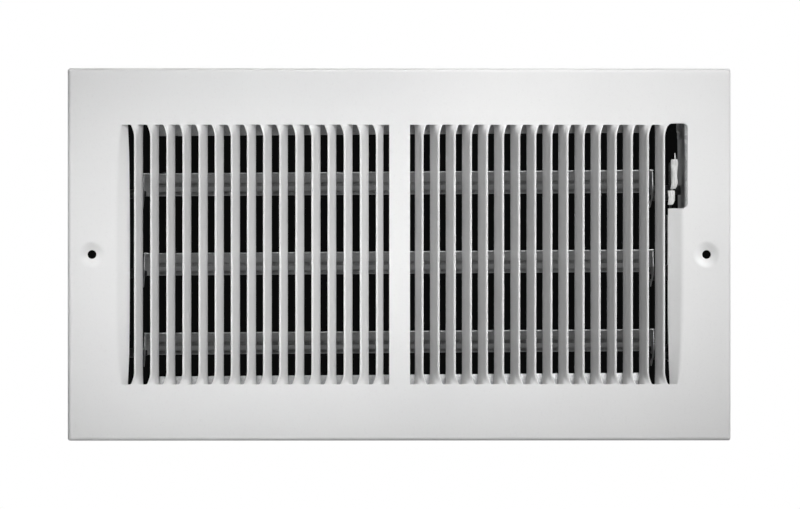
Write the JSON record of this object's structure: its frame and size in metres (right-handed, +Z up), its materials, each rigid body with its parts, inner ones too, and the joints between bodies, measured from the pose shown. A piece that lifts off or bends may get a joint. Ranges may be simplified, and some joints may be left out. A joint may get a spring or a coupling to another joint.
{
  "type": "baseboard register",
  "caption": "Rectangular stamped steel baseboard register with turned edges, twisted fins in two banks, a finger lever in a pocket and a linked multi-blade damper behind.",
  "frame": {"origin": "middle of the duct opening, on the wall plane at the back of the turned edge", "axes": "+X to the right seen from the room, +Y into the wall, +Z up"},
  "size_m": [0.3492, 0.0616, 0.196],
  "materials": {
    "white_paint": "semi-gloss powder coat",
    "galvanised": "galvanised sheet",
    "zinc_plate": "zinc plated",
    "dark_steel": "black phosphate",
    "lever_metal": "bright plated"
  },
  "bodies": {
    "frame": {"face_grille": "white_paint", "top_rail": "galvanised", "bottom_rail": "galvanised", "left_end_plate": "galvanised", "right_end_plate": "galvanised", "frame_rivets": "zinc_plate", "pivot_pins_left": "dark_steel", "pivot_pins_right": "dark_steel", "spring_washers": "dark_steel"},
    "top_blade": {"top_blade": "galvanised"},
    "middle_blade": {"middle_blade": "galvanised"},
    "bottom_blade": {"bottom_blade": "galvanised"},
    "link": {"link_bar": "dark_steel", "link_pins": "dark_steel", "thumb_lever": "lever_metal", "lever_rivets": "zinc_plate"}
  },
  "joints": [
    {"name": "top_blade_turn", "type": "hinge", "parent": "frame", "child": "top_blade", "pos_m": [-0.00025, 0.0281, 0.033], "axis": [-1, 0, -0.0075], "range_deg": [0, 72.5]},
    {"name": "middle_blade_turn", "type": "hinge", "parent": "frame", "child": "middle_blade", "pos_m": [0.00007, 0.0281, -0.009], "axis": [-1, 0, -0.0075], "range_deg": [0, 72.5]},
    {"name": "bottom_blade_turn", "type": "hinge", "parent": "frame", "child": "bottom_blade", "pos_m": [0.00038, 0.0281, -0.051], "axis": [-1, 0, -0.0075], "range_deg": [0, 72.5]},
    {"name": "link_swing", "type": "hinge", "parent": "top_blade", "child": "link", "pos_m": [-0.00022, 0.01883, 0.02925], "axis": [-1, 0, -0.0075], "range_deg": [-72.5, 0]}
  ],
  "couplings": [
    {"joint": "middle_blade_turn", "follows": "top_blade_turn", "ratio": 1},
    {"joint": "bottom_blade_turn", "follows": "top_blade_turn", "ratio": 1},
    {"joint": "link_swing", "follows": "top_blade_turn", "ratio": -1}
  ]
}
